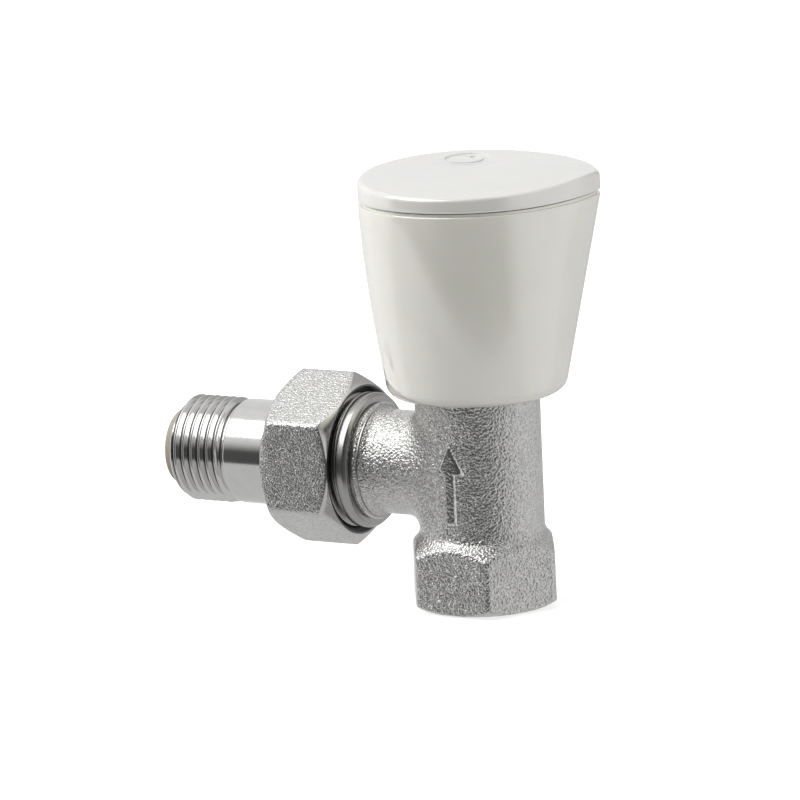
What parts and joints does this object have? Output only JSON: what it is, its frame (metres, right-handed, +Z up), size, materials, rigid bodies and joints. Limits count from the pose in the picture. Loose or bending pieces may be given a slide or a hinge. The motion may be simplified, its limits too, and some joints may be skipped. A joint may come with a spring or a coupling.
{
  "type": "angle radiator valve",
  "caption": "Angle radiator valve with a female pipe inlet, a union tailpiece, a screw-down plug on a non-rising spindle and a teardrop hand cap with a snap-in lid.",
  "frame": {"origin": "centre of the inlet mouth, on the flat end of the lower hexagon", "axes": "+Z up the barrel to the cap; the branch, union nut and tailpiece point along -X"},
  "size_m": [0.0891, 0.0424, 0.085],
  "materials": {
    "forged_nickel": "satin nickel plate over a shot-blasted brass forging",
    "nut_nickel": "satin nickel plate, grained flats and turned bevels",
    "bright_nickel": "bright nickel plate over turned brass",
    "cream_seal": "soft cream sealing ring",
    "black_rubber": "black EPDM",
    "plain_brass": "turned yellow brass",
    "insert_brass": "turned yellow brass",
    "fibre_seal": "red fibre washer",
    "white_ptfe": "white PTFE",
    "plated_steel": "zinc-plated steel",
    "stainless_steel": "stainless steel",
    "cap_white": "warm white ABS, satin gloss",
    "lid_white": "white ABS, satin gloss"
  },
  "bodies": {
    "body": {"valve_body": "forged_nickel", "bonnet": "plain_brass", "bonnet_seal": "fibre_seal", "gland_nut": "plain_brass", "gland_washer": "white_ptfe", "spindle_o_ring_upper": "black_rubber", "thrust_washer": "white_ptfe"},
    "spindle": {"spindle": "plain_brass", "spindle_circlip": "plated_steel", "spindle_o_ring_lower": "black_rubber"},
    "plug": {"plug_carrier": "plain_brass", "plug_washer": "black_rubber", "plug_washer_screw": "stainless_steel"},
    "cap": {"cap_skirt": "cap_white", "cap_drive_insert": "insert_brass", "cap_screw": "plated_steel", "cap_screw_washer": "plated_steel"},
    "lid": {"cap_lid": "lid_white"},
    "tail": {"tailpiece": "bright_nickel", "tail_o_ring": "black_rubber", "tail_end_seal": "cream_seal"},
    "nut": {"union_nut": "nut_nickel"}
  },
  "joints": [
    {"name": "spindle_turn", "type": "hinge", "parent": "body", "child": "spindle", "pos_m": [0, 0, 0.044], "axis": [0, 0, 1], "range_deg": [0, 900]},
    {"name": "plug_lift", "type": "slide", "parent": "body", "child": "plug", "axis": [0, 0, 1], "range_m": [0, 0.00375]},
    {"name": "cap_lift", "type": "slide", "parent": "spindle", "child": "cap", "axis": [0, 0, 1], "range_m": [0, 0.035]},
    {"name": "lid_lift", "type": "slide", "parent": "cap", "child": "lid", "axis": [0, 0, 1], "range_m": [0, 0.015]},
    {"name": "tail_withdraw", "type": "slide", "parent": "body", "child": "tail", "axis": [-1, 0, 0], "range_m": [0, 0.00998]},
    {"name": "union_nut_turn", "type": "hinge", "parent": "tail", "child": "nut", "pos_m": [-0.033, 0, 0.0263], "axis": [-1, 0, 0], "range_deg": [0, 1980]}
  ],
  "couplings": [
    {"joint": "plug_lift", "follows": "spindle_turn", "m_per_rad": 0.00023873},
    {"joint": "tail_withdraw", "follows": "union_nut_turn", "m_per_rad": 0.00028875}
  ]
}
